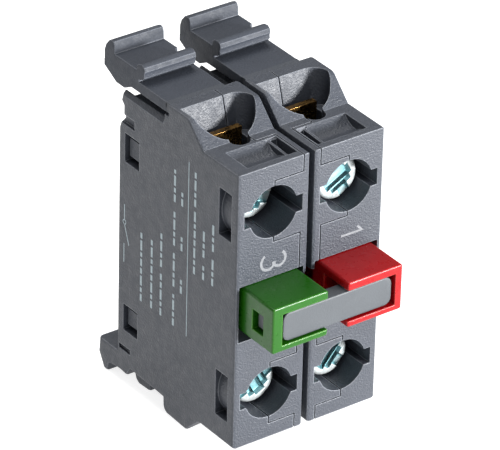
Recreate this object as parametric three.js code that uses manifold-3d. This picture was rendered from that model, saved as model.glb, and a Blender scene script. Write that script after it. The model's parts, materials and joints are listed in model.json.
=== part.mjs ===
// A pair of 10 mm contact blocks for 22 mm push buttons, ganged by a link plate.
// The left block is normally open (green plunger), the right one normally closed (red plunger).
// Millimetres. +X right, +Y into the block (away from the button), +Z up.
// Each block is drawn in its own frame: x = 0 on its left side, y = 0 on its front face,
// z = 0 on its lower ledge. The whole part's origin is the middle of the link plate's front face.
import * as THREE from 'three';
import { mergeVertices } from 'three/addons/utils/BufferGeometryUtils.js';
import Module from 'manifold-3d';

const wasm = await Module();
wasm.setup();

// ---- driving dimensions ----
const PITCH = 10;            // block to block
const W = 9.4;               // width of one block
const H = 34.4;              // height of the front face
const MID = H / 2;           // the block is symmetric about this height
const BACK = 22.4;           // rear face, which sits on the base plate
const WALL = 1.1;            // side wall
const REAR_WALL = 1.1;
const CX = W / 2;            // middle of a block
const EDGE = 0.35;           // rounding of the outer edges
const SEAM = 0.15;           // gap between the two half shells
const GAP = 0.3;             // running gap between pieces

const TERMINAL_Z = 11.4;     // screw height above and below MID
const HOOD_BACK = 13.2;        // rear face of the hood, where the latch arm starts
const SLOT_FRONT = 13.95;      // front end of the slot under the latch arm
const BORE_R = 3.15;
const BORE_END = 8.7;        // where the bores meet the terminal strips
const WELL = { x0: 0.45, x1: 8.75, back: 10.2, depth: 3.6, corner: 2 };
const EAR_SLOT = { half: 3.85, halfHeight: 1.03 };

const STRIP_Y = 9.0;         // front of the terminal strip
const STRIP_T = 0.8;
const STRIP_X = [2.2, 6.9];
const STRIP_SLOT_X = [1.9, 7.2];
const TIP_Z = 4.9;           // contact tips above and below MID
const TIP_R = 0.8;

const CUP = { x0: 0.85, x1: 8.2, z0: 14.75, z1: 20.4, front: -5.6, floor: -1.2, back: 1.0 };
const FLANGE = { top: 1.0, bottom: 0.75 };
const STEM = { x0: 2.2, x1: 7.2, z0: 15.4, z1: 19.0, rail: 1.0 };
const BAR = { green: 1.3, red: 0.95 };

const PLATE = { x0: 2.45, x1: 16.95, z0: 15.65, z1: 19.15, front: -5.3, back: -3.4, r: 0.9 };

const SCREW = { headR: 2.7, headH: 2.0, shankR: 1.65, shankL: 8.2 };
const CLAMP = { r: 2.85, hole: 1.9, t: 1.0, ear: 3.55, earHalf: 0.75 };

// ---- what differs between the two blocks ----
const BLOCKS = [
  {
    name: 'no', x: 0, mirrored: false, plungerColor: 0x4f9a3c, bar: BAR.green,
    window: [4.4, 12.0], stemEnd: 13.1, bridgeY: 11.0, tipSide: 1,
    contactSpring: { y0: 4.7, y1: 10.7, turns: 6 },
    stripOutline: [[STRIP_Y, 17], [STRIP_Y + STRIP_T, 17], [STRIP_Y + STRIP_T, 7.5], [16, 7.5],
      [16, 3.7], [16 - STRIP_T, 3.7], [16 - STRIP_T, 6.7], [STRIP_Y, 6.7]],
    fixedTip: [14.6, 15.15], screwDepth: { upper: 3.8, lower: 2.6 },
  },
  {
    name: 'nc', x: PITCH, mirrored: true, plungerColor: 0xc8383c, bar: BAR.red,
    window: [6.6, 12.7], stemEnd: 13.5, bridgeY: 8.4, tipSide: -1,
    contactSpring: { y0: 9.4, y1: 12.4, turns: 4 },
    stripOutline: [[STRIP_Y, 17], [STRIP_Y + STRIP_T, 17], [STRIP_Y + STRIP_T, 6.1], [6.0 + STRIP_T, 6.1],
      [6.0 + STRIP_T, 3.7], [6.0, 3.7], [6.0, 6.8], [STRIP_Y, 6.8]],
    fixedTip: [6.85, 7.45], screwDepth: { upper: 2.0, lower: 2.6 },
  },
];

// ---- materials ----
const plastic = new THREE.MeshStandardMaterial({ color: 0x5a5d62, roughness: 0.6 });
const linkGrey = new THREE.MeshStandardMaterial({ color: 0x9b9ea1, roughness: 0.5 });
const zinc = new THREE.MeshStandardMaterial({ color: 0xb9c6c8, roughness: 0.3, metalness: 1 });
const brass = new THREE.MeshStandardMaterial({ color: 0xb99b5a, roughness: 0.35, metalness: 1 });
const silver = new THREE.MeshStandardMaterial({ color: 0xd5d5d2, roughness: 0.3, metalness: 1 });
const spring = new THREE.MeshStandardMaterial({ color: 0x8d9095, roughness: 0.35, metalness: 1 });

// ---- geometry helpers ----
function toSolid(geometry) {
  const bare = geometry.clone();
  bare.deleteAttribute('normal');
  bare.deleteAttribute('uv');
  const merged = mergeVertices(bare, 1e-5);
  return new wasm.Manifold(new wasm.Mesh({
    numProp: 3,
    vertProperties: new Float32Array(merged.attributes.position.array),
    triVerts: new Uint32Array(merged.index.array),
  }));
}

function toGeometry(solid) {
  const mesh = solid.getMesh();
  const geometry = new THREE.BufferGeometry();
  geometry.setAttribute('position', new THREE.BufferAttribute(mesh.vertProperties, 3));
  geometry.setIndex(new THREE.BufferAttribute(mesh.triVerts, 1));
  geometry.computeVertexNormals();
  return geometry;
}

function makeMesh(name, solid, material) {
  const mesh = new THREE.Mesh(toGeometry(solid), material.clone());
  mesh.name = name;
  return mesh;
}

const union = (...solids) => solids.reduce((a, b) => a.add(b));
const cut = (body, ...tools) => tools.reduce((a, b) => a.subtract(b), body);

function box(xa, xb, ya, yb, za, zb) {
  const g = new THREE.BoxGeometry(Math.abs(xb - xa), Math.abs(yb - ya), Math.abs(zb - za));
  return toSolid(g.translate((xa + xb) / 2, (ya + yb) / 2, (za + zb) / 2));
}

function cylinderY(x, z, r, y0, y1, sides = 40) {
  const g = new THREE.CylinderGeometry(r, r, y1 - y0, sides);
  return toSolid(g.translate(x, (y0 + y1) / 2, z));
}

function cylinderZ(x, y, r, z0, z1, sides = 32) {
  const g = new THREE.CylinderGeometry(r, r, z1 - z0, sides).rotateX(Math.PI / 2);
  return toSolid(g.translate(x, y, (z0 + z1) / 2));
}

const outline = (points) => new THREE.Shape(points.map(([a, b]) => new THREE.Vector2(a, b)));

const roundOff = (e) => ({
  bevelEnabled: e > 0, bevelSize: e, bevelThickness: e, bevelOffset: -e, bevelSegments: 2,
});

// (y, z) outline pushed along X
function extrudeX(shape, xa, xb, edge = 0) {
  const [x0, x1] = xa < xb ? [xa, xb] : [xb, xa];
  const depth = x1 - x0 - 2 * edge;
  const g = new THREE.ExtrudeGeometry(shape, { depth, curveSegments: 6, ...roundOff(edge) });
  const turn = new THREE.Matrix4().makeBasis(
    new THREE.Vector3(0, 1, 0), new THREE.Vector3(0, 0, 1), new THREE.Vector3(1, 0, 0));
  return toSolid(g.applyMatrix4(turn).translate(x0 + edge, 0, 0));
}

// (x, z) outline pushed along Y
function extrudeY(shape, y0, y1, edge = 0) {
  const depth = y1 - y0 - 2 * edge;
  const g = new THREE.ExtrudeGeometry(shape, { depth, curveSegments: 3, ...roundOff(edge) });
  return toSolid(g.rotateX(Math.PI / 2).translate(0, y1 - edge, 0));
}

// (x, y) outline pushed along Z
function extrudeZ(shape, z0, z1) {
  const depth = z1 - z0;
  const g = new THREE.ExtrudeGeometry(shape, { depth, bevelEnabled: false, curveSegments: 14 });
  return toSolid(g.translate(0, 0, z0));
}

function roundedRect(xa, xb, za, zb, r) {
  const s = new THREE.Shape();
  s.moveTo(xa + r, za);
  s.lineTo(xb - r, za);
  s.absarc(xb - r, za + r, r, -Math.PI / 2, 0);
  s.lineTo(xb, zb - r);
  s.absarc(xb - r, zb - r, r, 0, Math.PI / 2);
  s.lineTo(xa + r, zb);
  s.absarc(xa + r, zb - r, r, Math.PI / 2, Math.PI);
  s.lineTo(xa, za + r);
  s.absarc(xa + r, za + r, r, Math.PI, Math.PI * 1.5);
  return s;
}

// ---- housing ----
// Side view of the whole block without its latch arm.
function sideOutline() {
  return outline([
    [0, 0], [6.5, 0], [9.0, -2.25], [12.7, -2.1], [13.2, -1.8], [13.4, -1.3], [13.45, -0.3],
    [15.5, -0.2], [19.9, -0.1], [20.6, -1.2], [21.7, -1.1], [22.8, -1.15], [24.1, -1.43],
    [24.4, -2.55], [25.07, -2.5], [26.1, -0.75], [25.9, 1.27], [BACK, 1.27],
    [BACK, 30.0], [22.1, 30.8], [21.6, 31.4], [21.6, 33.0], [22.07, 33.5], [21.7, 34.75],
    [SLOT_FRONT, 34.85], [SLOT_FRONT, 35.55], [HOOD_BACK, 35.55], [HOOD_BACK, 37.1],
    [9.6, 37.1], [9.1, 36.9], [8.8, 36.6], [6.5, H], [0, H],
  ]);
}

// Wire entry: an open well in the hood, a keyhole in the ledge and a neck down to the bore.
function wireWell(up) {
  const z = (dz) => MID + up * dz;
  const { x0, x1, back, depth: reach, corner } = WELL;
  const plan = new THREE.Shape();
  plan.moveTo(x0, 12);
  plan.lineTo(x0, back);
  plan.absellipse((x0 + x1) / 2, back, (x1 - x0) / 2, reach, Math.PI, Math.PI * 2);
  plan.lineTo(x1, 12);
  const [zLow, zHigh] = [z(15.8), z(21)].sort((a, b) => a - b);
  const lean = new THREE.Matrix4().makeShear(0, 0, 0, 0, 0, up * 0.3);
  const backWall = toSolid(new THREE.ExtrudeGeometry(roundedRect(x0 - corner, x1, 2, back, corner),
    { depth: zHigh - zLow, bevelEnabled: false, curveSegments: 8 })
    .translate(0, 0, zLow - z(15.8)).applyMatrix4(lean).translate(0, 0, z(15.8)));
  const well = extrudeZ(plan, zLow, zHigh).intersect(backWall);
  const keyhole = union(
    cylinderZ(CX, 6.5, 1.25, zLow, zHigh),
    box(CX - 1.25, CX + 1.25, 6.5, 8, zLow, zHigh));
  const neck = box(2.2, 7.2, 4.6, BORE_END, z(TERMINAL_Z), z(16));
  return union(well, keyhole, neck);
}

function ledgeTrough(up, side) {
  const z = (dz) => MID + up * dz;
  const section = [[4.9, 17.6], [4.9, 17.2], [4.5, 16.75], [3.9, 16.35], [3.3, 16.15], [2.8, 16.12],
    [0.95, 17.05], [0.95, 17.6]];
  const overRib = [[4.9, 17.6], [4.9, 17.0], [0.95, 16.85], [0.95, 17.6]];
  const pocket = [[4.8, 17.6], [1.2, 17.6], [1.2, 15.2], [2.8, 15.2], [4.6, 16.2]];
  const hollow = (points, x0, x1) => extrudeX(outline(points.map(([y, dz]) => [y, z(dz)])), side(x0), side(x1));
  return union(hollow(section, 1.8, 7.15), hollow(overRib, 7.0, 8.35), hollow(pocket, 7.45, 8.35));
}

// Shallow pocket in the side face whose floor follows the bore inside.
function sidePocket(up, side) {
  const z = MID + up * TERMINAL_Z;
  return cut(box(side(-1), side(1.4), 1.15, 3.45, z - 2.9, z + 2.9), cylinderY(CX, z, 4.3, 0, 5));
}

// Hollow under the latch hook, open to the rear, and the slanted top of the wall beside it.
const hookRecess = () => union(
  extrudeX(outline([[20.1, 36], [20.1, 32.7], [20.6, 32.2], [24, 32.2], [24, 36]]), 0.55, 6.7),
  extrudeY(outline([[-0.5, 33.75], [0.6, 34.96], [0.6, 35.3], [-0.5, 35.3]]), SLOT_FRONT, 22.6));

// The wall towards the neighbour is cut back so that the link plate can follow the plungers in.
const linkNotch = (side) => box(side(8.8), side(W + 1), -1, 1.7, PLATE.z0 - 0.45, PLATE.z1 + 0.45);

const LATCH_WINDOWS = [{ z0: 26.2, z1: 29.8 }, { z0: 4.6, z1: 8.0 }];

function blockBody(side) {
  const shape = union(
    extrudeX(sideOutline(), 0, W, EDGE),
    extrudeX(outline([[17.7, 0.4], [17.7, -2.2], [18.0, -2.3], [19.9, -2.4], [20.45, -2.05], [20.7, -1.4],
      [20.7, 0.4]]), 1.3, 8.1, 0.2));
  const hollows = [
    box(0.4, 8.9, -1, 2.4, 13.5, 20.5),                                   // mouth round the plunger
    box(CUP.x0 - GAP, CUP.x1 + GAP, 2.3, 5.7, CUP.z0 - GAP, CUP.z1 + GAP), // plunger guide
    box(WALL, W - WALL, 5.6, BACK - REAR_WALL, MID - 7, MID + 7),          // contact chamber
    box(WALL, W - WALL, 10.3, 17.4, 1.7, H - 1.7),                         // behind the terminals
    box(WALL, W - WALL, 17.3, BACK - REAR_WALL, 1.7, 31.0),
    hookRecess(),
  ];
  for (const up of [1, -1]) {
    const z = MID + up * TERMINAL_Z;
    hollows.push(
      cylinderY(CX, z, BORE_R, -1, BORE_END, 48),
      box(CX - EAR_SLOT.half, CX + EAR_SLOT.half, -1, BORE_END, z - EAR_SLOT.halfHeight,
        z + EAR_SLOT.halfHeight),
      box(...STRIP_SLOT_X, BORE_END - 0.1, 10.5, MID + up * 6.3, MID + up * 20),
      wireWell(up), ledgeTrough(up, side), sidePocket(up, side));
  }
  for (const w of LATCH_WINDOWS) hollows.push(box(side(-1), side(WALL + 0.2), 18.4, 21.2, w.z0, w.z1));
  hollows.push(
    linkNotch(side),
    box(side(-1), side(0.4), 19.35, 23, 30.8, 32.0),
    box(side(-1), side(0.4), 19.8, 22.0, 1.85, 2.5));
  return cut(shape, ...hollows);
}

// Everything that belongs to the main half shell, grown by e on the sides that meet the cover.
function mainRegion(side, e) {
  const far = 40;
  const out = side(-2);
  return union(
    box(out, side(CX + e), -far, far, -far, 60),
    box(out, side(8.25 + e), -far, 1.6 + e, 9.7 - e, 24.8 + e),
    box(out, side(8.5 + e), -far, 5.2 + e, 32.45 - e, 60),
    box(out, side(8.2 + e), -far, 5.2 + e, -far, 1.7 + e),
    box(out, side(5.9 + e), 5.0 - e, far, 33.2 - e, 60),
    box(out, side(5.9 + e), 5.0 - e, far, -far, 1.2 + e));
}

// Ribs on both side walls that stop the plunger's ears at rest.
const stopRib = (x0, x1) => box(x0, x1, 7.2, 8.0, STEM.z0 - 0.4, STEM.z1 + 0.4);

function shells(block) {
  const side = (x) => (block.mirrored ? W - x : x);
  const body = blockBody(side);
  const main = union(body.intersect(mainRegion(side, 0)), stopRib(side(0.8), side(1.9)));
  const hooks = LATCH_WINDOWS.map((w) => union(
    box(side(0.5), side(W - 0.8), 19.0, 20.9, w.z0 + 0.7, w.z1 - 0.7)));
  const cover = union(cut(body, mainRegion(side, SEAM)), stopRib(side(W - 1.9), side(W - 0.8)), ...hooks);
  return [
    makeMesh(`${block.name}_main_shell`, main, plastic),
    makeMesh(`${block.name}_cover_shell`, cover, plastic),
  ];
}

// Sprung arm with two finger ridges that hooks over the edge of the base plate.
function latchArm(block) {
  const y0 = HOOD_BACK + 0.2;
  const arm = extrudeX(outline([[y0, 35.85], [20.3, 35.8], [21.6, 35.1], [23.15, 35.1], [25.5, 36.3],
    [25.5, 37.1], [y0, 37.1]]), 0.12, 7.55, 0.12);
  const head = extrudeX(outline([[20.3, 35.8], [21.6, 35.1], [23.15, 35.1], [25.5, 36.3], [25.5, 38.2],
    [25.2, 39.0], [24.7, 39.6], [24.1, 39.9], [23.7, 39.8], [23.5, 39.4], [23.45, 38.45], [19.4, 38.5],
    [19.25, 39.05], [18.9, 39.35], [18.3, 39.45], [17.85, 39.2], [17.7, 38.75], [17.85, 38.4],
    [17.8, 37.95], [18.1, 37.6], [18.9, 37.3], [19.0, 36.6]]), 0.12, 6.95, 0.18);
  const trimmed = cut(union(arm, head),
    box(6.65, 9, 20.6, 27, 34, 41),
    cylinderZ(7.0, 20.0, 0.95, 34, 41, 24));
  return makeMesh(`${block.name}_latch_arm`, trimmed, plastic);
}

// ---- plunger ----
function plunger(block) {
  const side = (x) => (block.mirrored ? CUP.x0 + CUP.x1 - x : x);
  const outer = extrudeY(roundedRect(CUP.x0, CUP.x1, CUP.z0, CUP.z1, 0.3), CUP.front, CUP.back, 0.2);
  const cavity = box(side(CUP.x0 + block.bar), side(CUP.x1 + 1), CUP.front - 1, CUP.floor,
    CUP.z0 + FLANGE.bottom, CUP.z1 - FLANGE.top);
  const window = box(side(CUP.x0 - 1), side(CUP.x0 + block.bar + 0.5), -3.85, -1.85, 16.2, 18.7);
  const stem = box(STEM.x0, STEM.x1, CUP.back - 0.5, block.stemEnd, STEM.z0, STEM.z1);
  const ears = box(STEM.x0 - 0.8, STEM.x1 + 0.8, 8.3, 9.1, STEM.z0, STEM.z1);
  const opening = box(STEM.x0 + STEM.rail, STEM.x1 - STEM.rail, ...block.window, STEM.z0 - 1, STEM.z1 + 1);
  const solid = cut(union(cut(outer, cavity, window), stem, ears), opening);
  const material = plastic.clone();
  material.color.set(block.plungerColor);
  return makeMesh(`${block.name}_plunger`, solid, material);
}

// Bar across both plungers, clipped by a nose into a window on each outer side.
function linkPlate() {
  const { x0, x1, z0, z1, front, back, r } = PLATE;
  const bar = extrudeY(roundedRect(x0, x1, z0, z1, r), front, back, 0.15);
  const clips = [[x0, 1], [x1, -1]].map(([x, s]) => union(
    box(x, x + s * 1.1, back - 0.4, -1.6, 16.4, 18.5),
    box(x - s * 1.0, x + s * 0.5, -3.5, -2.2, 16.5, 18.4)));
  return makeMesh('link_plate', union(bar, ...clips), linkGrey);
}

// ---- contacts ----
function terminal(block, up, label) {
  const strip = extrudeX(outline(block.stripOutline.map(([y, dz]) => [y, MID + up * dz])), ...STRIP_X);
  const hole = cylinderY(CX, MID + up * TERMINAL_Z, SCREW.shankR + 0.2, STRIP_Y - 1, STRIP_Y + 2, 24);
  const tip = cylinderY(CX, MID + up * TIP_Z, TIP_R, ...block.fixedTip, 16);
  return [
    makeMesh(`${block.name}_${label}_terminal`, cut(strip, hole), brass),
    makeMesh(`${block.name}_${label}_fixed_tip`, tip, silver),
  ];
}

function contactBridge(block) {
  const t = 0.7;
  const [y0, y1] = [block.bridgeY, block.bridgeY + t];
  const tipY = block.tipSide > 0 ? [y1 + 0.05, y1 + 0.6] : [y0 - 0.6, y0 - 0.05];
  const strip = extrudeY(roundedRect(CX - 1.2, CX + 1.2, MID - 5.5, MID + 5.5, 0.8), y0, y1);
  const tips = [['upper', 1], ['lower', -1]].map(([label, up]) => makeMesh(
    `${block.name}_${label}_moving_tip`, cylinderY(CX, MID + up * TIP_Z, TIP_R, ...tipY, 16), silver));
  return [makeMesh(`${block.name}_contact_bridge`, strip, brass), ...tips];
}

// ---- springs ----
class Helix extends THREE.Curve {
  constructor(r, y0, y1, turns) {
    super();
    Object.assign(this, { r, y0, y1, turns });
  }

  getPoint(t, target = new THREE.Vector3()) {
    const a = t * this.turns * Math.PI * 2;
    return target.set(CX + this.r * Math.cos(a), this.y0 + (this.y1 - this.y0) * t, MID + this.r * Math.sin(a));
  }
}

function coil(name, r, wire, y0, y1, turns) {
  const section = new THREE.Shape();
  section.absarc(0, 0, wire, 0, Math.PI * 2);
  const g = new THREE.ExtrudeGeometry(section, {
    steps: turns * 10, curveSegments: 3, extrudePath: new Helix(r, y0 + wire, y1 - wire, turns),
  });
  return makeMesh(name, toSolid(g), spring);
}

// ---- terminal screws and clamps ----
function terminalScrew(block, up, label) {
  const z = MID + up * TERMINAL_Z;
  const y = block.screwDepth[label];
  const { headR, headH, shankR, shankL } = SCREW;
  const profile = [[0, 0], [headR - 0.4, 0], [headR, 0.3], [headR, headH], [shankR, headH],
    [shankR, headH + shankL - 0.5], [shankR - 0.5, headH + shankL], [0, headH + shankL]];
  const lathe = new THREE.LatheGeometry(profile.map(([r, d]) => new THREE.Vector2(r, d)), 32);
  const blank = toSolid(lathe.translate(CX, y, z));
  const slot = box(CX - headR - 1, CX + headR + 1, y - 1, y + 0.9, z - 0.4, z + 0.4);
  const cross = box(CX - 0.4, CX + 0.4, y - 1, y + 1.3, z - 1.5, z + 1.5);
  const well = cylinderY(CX, z, 1.1, y - 1, y + 1.1, 16);
  return makeMesh(`${block.name}_${label}_screw`, cut(blank, slot, cross, well), zinc);
}

function wireClamp(block, up, label) {
  const z = MID + up * TERMINAL_Z;
  const y = block.screwDepth[label] + SCREW.headH + 0.25;
  const disc = union(
    cylinderY(CX, z, CLAMP.r, y, y + CLAMP.t, 32),
    box(CX - CLAMP.ear, CX + CLAMP.ear, y, y + CLAMP.t, z - CLAMP.earHalf, z + CLAMP.earHalf));
  return makeMesh(`${block.name}_${label}_wire_clamp`,
    cut(disc, cylinderY(CX, z, CLAMP.hole, y - 1, y + CLAMP.t + 1, 24)), zinc);
}

// ---- assembly ----
function contactBlock(block) {
  const group = new THREE.Group();
  group.position.x = block.x;
  group.add(...shells(block), latchArm(block), plunger(block), ...contactBridge(block));
  for (const [label, up] of [['upper', 1], ['lower', -1]]) {
    group.add(...terminal(block, up, label), terminalScrew(block, up, label), wireClamp(block, up, label));
  }
  const { y0, y1, turns } = block.contactSpring;
  group.add(
    coil(`${block.name}_contact_spring`, 0.95, 0.2, y0, y1, turns),
    coil(`${block.name}_return_spring`, 1.9, 0.22, block.stemEnd + GAP, BACK - REAR_WALL - GAP, 6));
  return group;
}

const part = new THREE.Group();
part.position.set(-(PITCH + W) / 2, -PLATE.front, -(PLATE.z0 + PLATE.z1) / 2);
part.add(linkPlate(), ...BLOCKS.map(contactBlock));

const assembly = new THREE.Group();
assembly.add(part);

export default assembly;
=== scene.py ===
"""Looks for a pair of contact blocks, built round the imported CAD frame.

The housings, plungers, link plate, latch arms, clamps and contacts are the CAD's own pieces, smoothed by
modifiers. The screws and springs are remodelled here, and the latch webs and the prints are added.
"""

import json
import math

import bmesh
import bpy
from mathutils import Matrix, Vector


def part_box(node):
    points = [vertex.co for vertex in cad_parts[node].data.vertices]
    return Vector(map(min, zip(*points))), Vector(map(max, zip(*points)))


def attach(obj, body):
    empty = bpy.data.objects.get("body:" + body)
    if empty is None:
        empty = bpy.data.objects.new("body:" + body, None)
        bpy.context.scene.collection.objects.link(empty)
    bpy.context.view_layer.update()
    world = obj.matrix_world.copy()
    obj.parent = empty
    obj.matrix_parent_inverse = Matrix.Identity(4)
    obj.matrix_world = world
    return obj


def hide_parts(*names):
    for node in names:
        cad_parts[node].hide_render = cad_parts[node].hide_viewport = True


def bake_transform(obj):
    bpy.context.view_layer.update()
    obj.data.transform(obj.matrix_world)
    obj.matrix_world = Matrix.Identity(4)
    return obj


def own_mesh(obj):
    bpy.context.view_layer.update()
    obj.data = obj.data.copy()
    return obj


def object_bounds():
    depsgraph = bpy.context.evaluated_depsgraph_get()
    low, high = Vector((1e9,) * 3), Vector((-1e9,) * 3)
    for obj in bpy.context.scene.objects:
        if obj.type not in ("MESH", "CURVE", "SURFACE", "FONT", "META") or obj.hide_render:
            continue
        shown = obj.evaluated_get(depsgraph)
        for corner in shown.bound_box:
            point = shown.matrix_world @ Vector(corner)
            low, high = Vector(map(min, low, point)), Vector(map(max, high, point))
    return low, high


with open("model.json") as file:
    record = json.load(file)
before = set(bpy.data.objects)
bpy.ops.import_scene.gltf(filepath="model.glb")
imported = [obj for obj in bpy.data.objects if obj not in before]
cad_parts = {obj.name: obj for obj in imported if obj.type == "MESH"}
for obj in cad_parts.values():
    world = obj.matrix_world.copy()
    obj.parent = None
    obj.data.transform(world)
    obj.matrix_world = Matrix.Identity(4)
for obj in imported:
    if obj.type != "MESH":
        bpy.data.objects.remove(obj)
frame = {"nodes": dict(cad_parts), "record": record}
cad_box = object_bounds()

MM = 0.001
scene = bpy.context.scene
scene.view_settings.view_transform = "Standard"

# ---- camera, its place in millimetres ----
camera = bpy.data.objects.new("camera", bpy.data.cameras.new("camera"))
scene.collection.objects.link(camera)
scene.camera = camera
camera.data.sensor_width = 36.0
camera.data.lens = 344.3
camera.data.clip_start = 0.01
camera.data.clip_end = 10.0
AZIMUTH, ELEVATION, ROLL = math.radians(-36.48), math.radians(30.48), math.radians(1.427)
back = Vector((math.sin(AZIMUTH) * math.cos(ELEVATION), -math.cos(AZIMUTH) * math.cos(ELEVATION),
               math.sin(ELEVATION)))
turn = back.to_track_quat("Z", "Y") @ Matrix.Rotation(ROLL, 3, "Z").to_quaternion()
camera.matrix_world = Matrix.LocRotScale(Vector((-268.701, -347.156, 268.553)) * MM, turn, None)

# ---- the blocks' own frames, read from the CAD ----
# x runs from a block's left side, y from its front face and z from its lower ledge.
BLOCKS = {"no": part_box("no_main_shell")[0].x, "nc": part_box("nc_cover_shell")[0].x}
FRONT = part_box("no_main_shell")[0].y
HALF_HEIGHT = 17.2
MID_Z = (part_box("no_upper_screw")[0].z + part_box("no_lower_screw")[1].z) / 2


def at(block, x, y, z):
    """A point in a block's own frame in millimetres, as a point of the row frame in metres."""
    return Vector((BLOCKS[block] + x * MM, FRONT + y * MM, MID_Z + (z - HALF_HEIGHT) * MM))


# ---- materials ----
class Nodes:
    """A material whose node tree is built by short calls."""

    def __init__(self, name):
        self.material = bpy.data.materials.new(name)
        self.material.use_nodes = True
        self.tree = self.material.node_tree
        self.shader = self.tree.nodes["Principled BSDF"]
        self.coords = self.tree.nodes.new("ShaderNodeTexCoord").outputs["Object"]

    def add(self, kind, inputs=(), **settings):
        node = self.tree.nodes.new(kind)
        for key, value in settings.items():
            setattr(node, key, value)
        for key, value in dict(inputs).items():
            if isinstance(value, bpy.types.NodeSocket):
                self.tree.links.new(value, node.inputs[key])
            else:
                node.inputs[key].default_value = value
        return node

    def noise(self, per_mm, detail=2.0):
        inputs = {"Vector": self.coords, "Scale": per_mm / MM, "Detail": detail}
        return self.add("ShaderNodeTexNoise", inputs).outputs[0]

    def ramp(self, value, low, high, out_low=0.0, out_high=1.0):
        return self.add("ShaderNodeMapRange", {"Value": value, "From Min": low, "From Max": high,
                                               "To Min": out_low, "To Max": out_high}).outputs[0]

    def times(self, value, factor):
        return self.add("ShaderNodeMath", {0: value, 1: factor}, operation="MULTIPLY").outputs[0]

    def mix(self, factor, a, b):
        node = self.add("ShaderNodeMix", data_type="RGBA")
        for index, value in ((0, factor), (6, a), (7, b)):
            if isinstance(value, bpy.types.NodeSocket):
                self.tree.links.new(value, node.inputs[index])
            elif index:
                node.inputs[index].default_value = (*value, 1.0)
            else:
                node.inputs[index].default_value = value
        return node.outputs[2]

    def edges(self, radius):
        """A rounded normal, and a value that is 1 on edges and 0 on flats."""
        bevel = self.add("ShaderNodeBevel", {"Radius": radius * MM}, samples=6).outputs[0]
        true = self.add("ShaderNodeNewGeometry").outputs["Normal"]
        dot = self.add("ShaderNodeVectorMath", {0: bevel, 1: true}, operation="DOT_PRODUCT")
        return bevel, self.ramp(dot.outputs["Value"], 0.995, 0.90)

    def hollows(self, reach):
        """1 in the open, less in hollows about as deep as reach."""
        inputs = {"Distance": reach * MM}
        sky = self.add("ShaderNodeAmbientOcclusion", inputs, samples=8, only_local=True).outputs["AO"]
        return self.ramp(sky, 0.80, 0.97)

    def bump(self, height, distance, normal=None):
        inputs = {"Height": height, "Distance": distance * MM, "Strength": 1.0}
        if normal:
            inputs["Normal"] = normal
        self.tree.links.new(self.add("ShaderNodeBump", inputs).outputs[0], self.shader.inputs["Normal"])

    def set(self, **values):
        for key, value in values.items():
            socket = self.shader.inputs[key.replace("_", " ")]
            if isinstance(value, bpy.types.NodeSocket):
                self.tree.links.new(value, socket)
            else:
                socket.default_value = value
        return self.material


def srgb(r, g, b):
    """Linear colour from 0-255 display values."""
    return tuple(c / 3294.6 if c <= 10 else ((c / 255 + 0.055) / 1.055) ** 2.4 for c in (r, g, b))


def scaled(tone, gain):
    return [c * gain for c in tone]


def plastic(name, tone, edge_highlight, grain, roughness, ior=1.5, rounded=True):
    """Moulded plastic: faint mottling, a spark-eroded grain and, where rounded, edges painted lighter as a
    painted highlight.
    """
    m = Nodes(name)
    mottle = m.times(m.ramp(m.noise(0.35, 3), 0.35, 0.65), 0.5)
    speckle = m.times(m.ramp(m.noise(7.0, 1), 0.3, 0.7), 0.35)
    base = m.mix(mottle, scaled(tone, 0.92), scaled(tone, 1.10))
    base = m.mix(speckle, base, scaled(tone, 1.5))
    normal = None
    if rounded:
        normal, rim = m.edges(0.18)
        # painted highlight: the rounded edges are mixed towards the lighter edge colour
        base = m.mix(m.times(rim, 0.7), base, edge_highlight)
    m.bump(m.noise(4.5, 2), grain, normal)
    gloss = m.ramp(m.noise(1.2), 0.3, 0.7, roughness - 0.06, roughness + 0.08)
    return m.set(Base_Color=base, Roughness=gloss, IOR=ior)


def metal(name, tone, shade, roughness, grain=0.004, recess=None):
    """Plated or rolled metal in patches of two tones; recess, where given, is a painted shade colour for its
    hollows.
    """
    m = Nodes(name)
    base = m.mix(m.times(m.ramp(m.noise(0.7, 3), 0.4, 0.65), 0.6), tone, shade)
    if recess:
        # painted shade: the hollows are mixed towards the darker recess colour
        base = m.mix(m.hollows(1.2), recess, base)
    m.bump(m.noise(2.5, 2), grain)
    gloss = m.ramp(m.noise(3.0, 2), 0.3, 0.7, roughness - 0.08, roughness + 0.12)
    return m.set(Base_Color=base, Metallic=0.6 if recess else 1.0, Roughness=gloss)


def ink(name, tone):
    """Pad-printed ink with slightly uneven coverage."""
    m = Nodes(name)
    base = m.mix(m.ramp(m.noise(6.0, 2), 0.35, 0.6), scaled(tone, 0.78), tone)
    return m.set(Base_Color=base, Roughness=0.7)


# Each plastic's second, lighter colour is a painted highlight on its edges.
GREY, GREY_EDGE_HIGHLIGHT = srgb(47, 51, 59), srgb(132, 136, 144)
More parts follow.
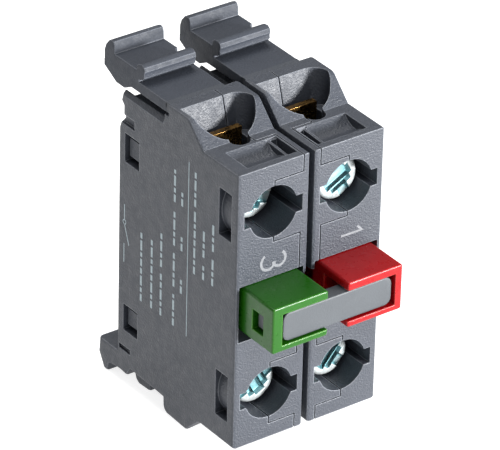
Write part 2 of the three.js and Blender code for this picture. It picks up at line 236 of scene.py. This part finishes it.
# painted shade, tinted teal, for the hollows in the screw heads
SCREW_HOLLOW_SHADE = srgb(118, 166, 173)
MATERIALS = {
    "housing_plastic": plastic("housing_plastic", GREY, GREY_EDGE_HIGHLIGHT, 0.085, 0.5),
    "green_plastic": plastic("green_plastic", srgb(20, 74, 4), srgb(95, 165, 50), 0.005, 0.3, 1.36),
    "red_plastic": plastic("red_plastic", srgb(134, 3, 8), srgb(205, 70, 62), 0.005, 0.3, 1.36),
    "link_plastic": plastic("link_plastic", srgb(60, 64, 68), srgb(112, 116, 120), 0.012, 0.5),
    "zinc_steel": metal("zinc_steel", srgb(190, 195, 195), srgb(172, 184, 186), 0.42, recess=SCREW_HOLLOW_SHADE),
    # The brass tones are darker than the metal's own colour: painted shade for the contact strips lying in
    # shadow in the wells.
    "brass": metal("brass", srgb(128, 98, 54), srgb(66, 48, 28), 0.28, 0.0005),
    "contact_silver": metal("contact_silver", srgb(225, 225, 222), srgb(180, 180, 176), 0.28),
    "spring_steel": metal("spring_steel", srgb(165, 168, 172), srgb(110, 112, 118), 0.3),
}
LATCH = plastic("latch_plastic", GREY, GREY_EDGE_HIGHLIGHT, 0.045, 0.62, 1.4)
NECK = plastic("neck_plastic", srgb(48, 52, 59), None, 0.06, 0.6, rounded=False)
INK_FRONT = ink("ink_front", srgb(116, 118, 122))
INK_SIDE = ink("ink_side", srgb(158, 172, 178))

# ---- the CAD's own pieces: rounded edges, smooth shading, finished materials ----
# Roundings in millimetres by a word in the node's name; where it is 0, only the material softens the edges.
ROUNDING = {"shell": 0, "latch_arm": 0, "link_plate": 0, "plunger": 0.06}
SMALL_ROUNDING = 0.04
SLOTS = {row["node"]: row["material_slot"] for row in frame["record"]["subparts"]}


def paint(obj, material):
    obj.data.materials.clear()
    obj.data.materials.append(material)


def round_edges(obj, width):
    """Bevels the hard edges by width millimetres."""
    bevel = obj.modifiers.new("bevel", "BEVEL")
    bevel.width = width * MM
    bevel.segments = 2
    bevel.limit_method = "ANGLE"
    bevel.angle_limit = math.radians(40)
    bevel.use_clamp_overlap = False


def soften(obj, width):
    """Joins the faces, rounds the hard edges unless width is 0, and shades the rest smooth."""
    obj.data.shade_smooth()
    obj.modifiers.new("weld", "WELD").merge_threshold = 2e-6
    if width:
        round_edges(obj, width)
    obj.modifiers.new("split", "EDGE_SPLIT").split_angle = math.radians(38)
    shading = obj.modifiers.new("shading", "WEIGHTED_NORMAL")
    shading.keep_sharp = True
    shading.weight = 80


for name, node in frame["nodes"].items():
    paint(node, LATCH if name.endswith("latch_arm") else MATERIALS[SLOTS[name]])
    soften(node, next((width for word, width in ROUNDING.items() if word in name), SMALL_ROUNDING))


# ---- building pieces in mesh code ----
def finish_piece(name, bm, slot, body, replaces=None, material=None):
    """Links a bmesh as a named piece, paints it with its slot's material or the given one, hides the CAD node
    that it stands for and attaches it to its body.
    """
    mesh = bpy.data.meshes.new(name)
    bmesh.ops.recalc_face_normals(bm, faces=bm.faces)
    bm.to_mesh(mesh)
    bm.free()
    obj = bpy.data.objects.new(name, mesh)
    scene.collection.objects.link(obj)
    paint(obj, material or MATERIALS[slot])
    if replaces:
        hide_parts(replaces)
    if body:
        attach(obj, body)
    return obj


def ring(centre, radius, depth, sides):
    """Points in metres on a circle about the +Y line through centre; radius and depth are in millimetres."""
    angles = (2 * math.pi * i / sides for i in range(sides))
    return [centre + Vector((radius * math.cos(a), depth, radius * math.sin(a))) * MM for a in angles]


def lathe(bm, profile, centre, sides):
    """A closed body turned about the +Y line through centre from (radius, depth) points in millimetres."""
    rings = [[bm.verts.new(p) for p in ring(centre, radius, depth, sides if radius else 1)]
             for radius, depth in profile]
    for low, high in zip(rings, rings[1:]):
        for i in range(sides):
            k = (i + 1) % sides
            corners = [low[i % len(low)], low[k % len(low)], high[k % len(high)], high[i % len(high)]]
            face = list(dict.fromkeys(corners))
            if len(face) > 2:
                bm.faces.new(face)


def skin(bm, sections):
    """A closed body along a run of sections, each a list of points in metres."""
    rows = [[bm.verts.new(p) for p in section] for section in sections]
    for one, two in zip(rows, rows[1:]):
        for k in range(len(one)):
            n = (k + 1) % len(one)
            bm.faces.new([one[k], one[n], two[n], two[k]])
    bm.faces.new(rows[0])
    bm.faces.new(rows[-1][::-1])


def carve(obj, cutter):
    """Cuts one object from another and removes the cutter."""
    modifier = obj.modifiers.new("cut", "BOOLEAN")
    modifier.object = cutter
    modifier.operation = "DIFFERENCE"
    modifier.solver = "EXACT"
    graph = bpy.context.evaluated_depsgraph_get()
    cut = bpy.data.meshes.new_from_object(obj.evaluated_get(graph))
    obj.modifiers.remove(modifier)
    obj.data = cut
    bpy.data.objects.remove(cutter)


# ---- terminal screws, in millimetres ----
HEAD_R, HEAD_H, SHANK_R, SHANK_END, THREAD = 2.7, 2.0, 1.65, 10.2, 0.6
RIM = 0.45
SCREW_ANGLES = {("no", "upper"): 20, ("no", "lower"): -28, ("nc", "upper"): 62, ("nc", "lower"): 40}
# Half width, half height, depth and narrowing of the slot, the cross bar and the square well in a head.
RECESS = ((HEAD_R + 1, 0.7, 0.5, 0.96), (0.8, 2.25, 0.7, 0.72), (1.75, 1.75, 0.6, 0.7))


def thread_profile():
    """Radius and depth down the shank, one groove for each thread."""
    points, depth = [], HEAD_H + 0.4
    while depth < SHANK_END - 1.1:
        points += [(SHANK_R, depth), (SHANK_R, depth + 0.12), (SHANK_R - 0.32, depth + 0.36)]
        depth += THREAD
    return points + [(SHANK_R, depth), (SHANK_R - 0.5, SHANK_END), (0, SHANK_END)]


def screw_profile():
    """Radius and depth of the whole screw, from the middle of the head's face to the tip."""
    rim = [(HEAD_R - RIM * (1 - math.sin(a)), 0.12 + RIM * (1 - math.cos(a)))
           for a in (math.pi / 2 * i / 5 for i in range(6))]
    under = [(HEAD_R, 1.85), (HEAD_R - 0.15, HEAD_H), (SHANK_R, HEAD_H)]
    return [(0, 0), (1.4, 0.02), *rim, *under, *thread_profile()]


def terminal_screw(block, label, angle):
    """Cheese head with a rounded rim, a slot and a crossed recess, on a threaded shank."""
    node = f"{block}_{label}_screw"
    low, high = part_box(node)
    centre = Vector(((low.x + high.x) / 2, low.y, (low.z + high.z) / 2))
    turned = Matrix.Translation(centre) @ Matrix.Rotation(math.radians(angle), 4, "Y")
    bm = bmesh.new()
    lathe(bm, screw_profile(), centre, 64)
    screw = finish_piece(node + "_detailed", bm, "zinc_steel", None)
    for half_x, half_z, depth, narrowing in RECESS:
        corners = [(half_x, half_z), (-half_x, half_z), (-half_x, -half_z), (half_x, -half_z)]
        bm = bmesh.new()
        skin(bm, [[turned @ (Vector((x * size, y, z * size)) * MM) for x, z in corners]
                  for y, size in ((-1.0, 1), (depth, narrowing))])
        carve(screw, finish_piece("cutter", bm, "zinc_steel", None))
    round_edges(screw, 0.07)
    screw.data.shade_smooth()
    screw.modifiers.new("shading", "WEIGHTED_NORMAL").keep_sharp = False
    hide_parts(node)
    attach(screw, f"{block}_{label}_screw")


for (block, label), angle in SCREW_ANGLES.items():
    terminal_screw(block, label, angle)


# ---- springs and latch webs ----
def spring(node, body, wire, turns):
    """A close-ended coil along Y, attached to body; wire is the wire's radius."""
    low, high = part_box(node)
    centre = Vector(((low.x + high.x) / 2, low.y, (low.z + high.z) / 2))
    wire *= MM
    radius = (high.x - low.x) / 2 - wire
    closed_turn = 2.1 * wire
    open_length = high.y - low.y - 2 * wire - 2 * closed_turn
    dead = 0.9 / turns
    steps, sides = turns * 28, 10
    sections = []
    for t in (i / steps for i in range(steps + 1)):
        rise = min(max((t - dead) / (1 - 2 * dead), 0), 1)
        closed = closed_turn * (min(t, dead) + max(t - 1 + dead, 0)) / dead
        angle = 2 * math.pi * turns * t
        out = Vector((math.cos(angle), 0, math.sin(angle)))
        spine = centre + out * radius + Vector((0, wire + closed + open_length * rise, 0))
        sections.append([spine + out * wire * math.cos(b) + Vector((0, wire * math.sin(b), 0))
                         for b in (2 * math.pi * k / sides for k in range(sides))])
    bm = bmesh.new()
    skin(bm, sections)
    coil = finish_piece(node + "_coil", bm, "spring_steel", body, node)
    coil.data.shade_smooth()
    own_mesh(coil)


spring("no_return_spring", "housing", 0.22, 6)
spring("nc_return_spring", "housing", 0.22, 6)
spring("no_contact_spring", "no_plunger", 0.2, 6)
spring("nc_contact_spring", "nc_bridge", 0.2, 4)


NECK_STEPS, NECK_WIDTH = 8, 7.4
NECK_Z = 37.125
NECK_BELOW = (0.02, 1.2)      # the web's top and underside, below NECK_Z


def latch_neck(block):
    """The thin web by which the latch arm grows out of its shell."""
    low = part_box(f"{block}_latch_arm")[0]
    left, right, root_y = low.x, low.x + NECK_WIDTH * MM, low.y
    top = at(block, 0, 0, NECK_Z).z
    over, under = (top - below * MM for below in NECK_BELOW)
    bm = bmesh.new()
    corners = ((left, over), (right, over), (right, under), (left, under))
    skin(bm, [[(x, y, z) for x, z in corners]
              for y in (root_y + (0.8 * i / NECK_STEPS - 0.5) * MM for i in range(NECK_STEPS + 1))])
    neck = finish_piece(f"{block}_latch_neck", bm, "housing_plastic", None, material=NECK)
    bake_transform(neck)


for block in BLOCKS:
    latch_neck(block)


# ---- prints ----
INK_T = 0.012     # thickness of the ink


def stroke(bm, points, width, place):
    """A ribbon of ink along points, with square ends; place turns (u, v, height) into a point in metres."""
    pts = [Vector(p) for p in points]
    left, right = [], []
    for i, p in enumerate(pts):
        before = (p - pts[i - 1]).normalized() if i else (pts[1] - p).normalized()
        after = (pts[i + 1] - p).normalized() if i + 1 < len(pts) else before
        along = (before + after).normalized()
        side = Vector((-along.y, along.x)) * width / 2 / max(along.dot(before), 0.5)
        left.append(p + side)
        right.append(p - side)
    for i in range(len(pts) - 1):
        corners = [left[i], left[i + 1], right[i + 1], right[i]]
        skin(bm, [[place(q.x, q.y, height) for q in corners] for height in (INK_T, 0.0)])


def arc(cx, cy, r, a0, a1, steps=10, squeeze=1.0):
    return [(cx + r * squeeze * math.cos(math.radians(a0 + (a1 - a0) * i / steps)),
             cy + r * math.sin(math.radians(a0 + (a1 - a0) * i / steps))) for i in range(steps + 1)]


# Each digit in a box one unit high, its middle at the origin.
DIGITS = {
    "1": [[(-0.2, 0.28), (0.04, 0.5), (0.04, -0.5)]],
    "2": [[*arc(0, 0.22, 0.28, 160, -30), (-0.28, -0.5), (0.3, -0.5)]],
    "3": [arc(0, 0.24, 0.26, 150, -80, squeeze=1.05), arc(0, -0.22, 0.29, 80, -150, squeeze=1.05)],
    "4": [[(0.12, -0.5), (0.12, 0.5), (-0.32, -0.22), (0.34, -0.22)]],
}


def front_digit(block, digit, x, z, height):
    """A digit on a block's front face, on its side with its top to the right; each line lies over the last."""
    bm = bmesh.new()
    for i, line in enumerate(DIGITS[digit]):
        stroke(bm, line, 0.1, lambda u, v, h: at(block, x + v * height, -h * (1 + 0.3 * i), z - u * height))
    finish_piece(f"{block}_digit_{digit}", bm, "housing_plastic", "housing", material=INK_FRONT)


front_digit("no", "3", 4.85, 22.5, 3.2)
front_digit("no", "4", 4.85, 12.4, 2.4)
front_digit("nc", "1", 5.3, 22.6, 2.8)
front_digit("nc", "2", 5.3, 12.4, 2.4)


def side_place(u, v, h):
    """A point on the left block's outer side: u is the depth from the front, v the height."""
    return at("no", -h, u, v)


def dashes(bm, y, z0, z1, width=0.34):
    """A run of short dashes of uneven length that fills z0 to z1."""
    lengths, z, k = (0.9, 0.55, 1.25, 0.7), z0, 0
    while z < z1 - 0.3:
        end = min(z + lengths[k % 4], z1)
        stroke(bm, [(y, z), (y, end)], width, side_place)
        z, k = end + 0.28, k + 1


PRINT_ROWS = {
    17.8: [(10.0, 19.2)],
    15.8: [(10.1, 18.8)],
    14.0: [(10.1, 15.4), (16.3, 21.0)],
    11.6: [(10.0, 14.0), (15.0, 19.3), (20.2, 24.9), (25.7, 29.7)],
    10.2: [(14.8, 16.6), (20.2, 22.0), (25.8, 27.5)],
    7.8: [(18.5, 26.3), (26.9, 31.2)],
    6.1: [(18.6, 20.6), (21.4, 24.7)],
    4.4: [(18.7, 22.0), (23.0, 26.5)],
}
bm = bmesh.new()
for y, runs in PRINT_ROWS.items():
    for z0, z1 in runs:
        dashes(bm, y, z0, z1)
stroke(bm, [(9.05, 9.9), (9.05, 31.9)], 0.12, side_place)
finish_piece("no_side_print", bm, "housing_plastic", "housing", material=INK_SIDE)

bm = bmesh.new()
stroke(bm, [(21.15, 13.4), (21.15, 15.8)], 0.14, side_place)
stroke(bm, [(20.2, 15.9), (21.1, 18.3)], 0.14, side_place)
stroke(bm, arc(21.1, 18.55, 0.28, 0, 360, 16), 0.12, side_place)
stroke(bm, [(21.1, 18.9), (21.1, 20.8)], 0.14, side_place)
finish_piece("no_side_symbol", bm, "housing_plastic", "housing", material=INK_SIDE)

# ---- floor and light ----
floor_mesh = bpy.data.meshes.new("floor")
bm = bmesh.new()
bmesh.ops.create_grid(bm, x_segments=1, y_segments=1, size=3.0)
bm.to_mesh(floor_mesh)
bm.free()
floor = bpy.data.objects.new("floor", floor_mesh)
floor.location = (0, 0, cad_box[0].z - 0.02 * MM)
scene.collection.objects.link(floor)
pale = Nodes("floor_paper")
tone = pale.mix(pale.ramp(pale.noise(0.02), 0.3, 0.7), (0.50, 0.50, 0.50), (0.54, 0.54, 0.54))
paint(floor, pale.set(Base_Color=tone, Roughness=0.9, Emission_Color=(1, 1, 1, 1), Emission_Strength=0.8))

world = bpy.data.worlds.new("studio")
world.use_nodes = True
world.node_tree.nodes["Background"].inputs[0].default_value = (1.0, 1.0, 1.0, 1.0)
world.node_tree.nodes["Background"].inputs[1].default_value = 0.31
scene.world = world


def area_light(name, direction, distance, size, power):
    """A round lamp that shines on the origin from direction; distance and size in metres, power in watts."""
    light = bpy.data.objects.new(name, bpy.data.lights.new(name, "AREA"))
    light.data.shape = "DISK"
    light.data.size = size
    light.data.energy = power
    light.location = Vector(direction).normalized() * distance
    light.rotation_euler = (-light.location).to_track_quat("-Z", "Y").to_euler()
    scene.collection.objects.link(light)


area_light("key", (0.52, -0.84, 0.16), 0.6, 0.12, 11.0)
area_light("top", (0.1, 0.3, 1.0), 0.6, 0.4, 3.0)
area_light("slope", (-0.1, -0.6, 0.8), 0.6, 0.25, 1.1)
area_light("rim", (-0.55, 0.69, 0.46), 0.6, 0.2, 0.4)
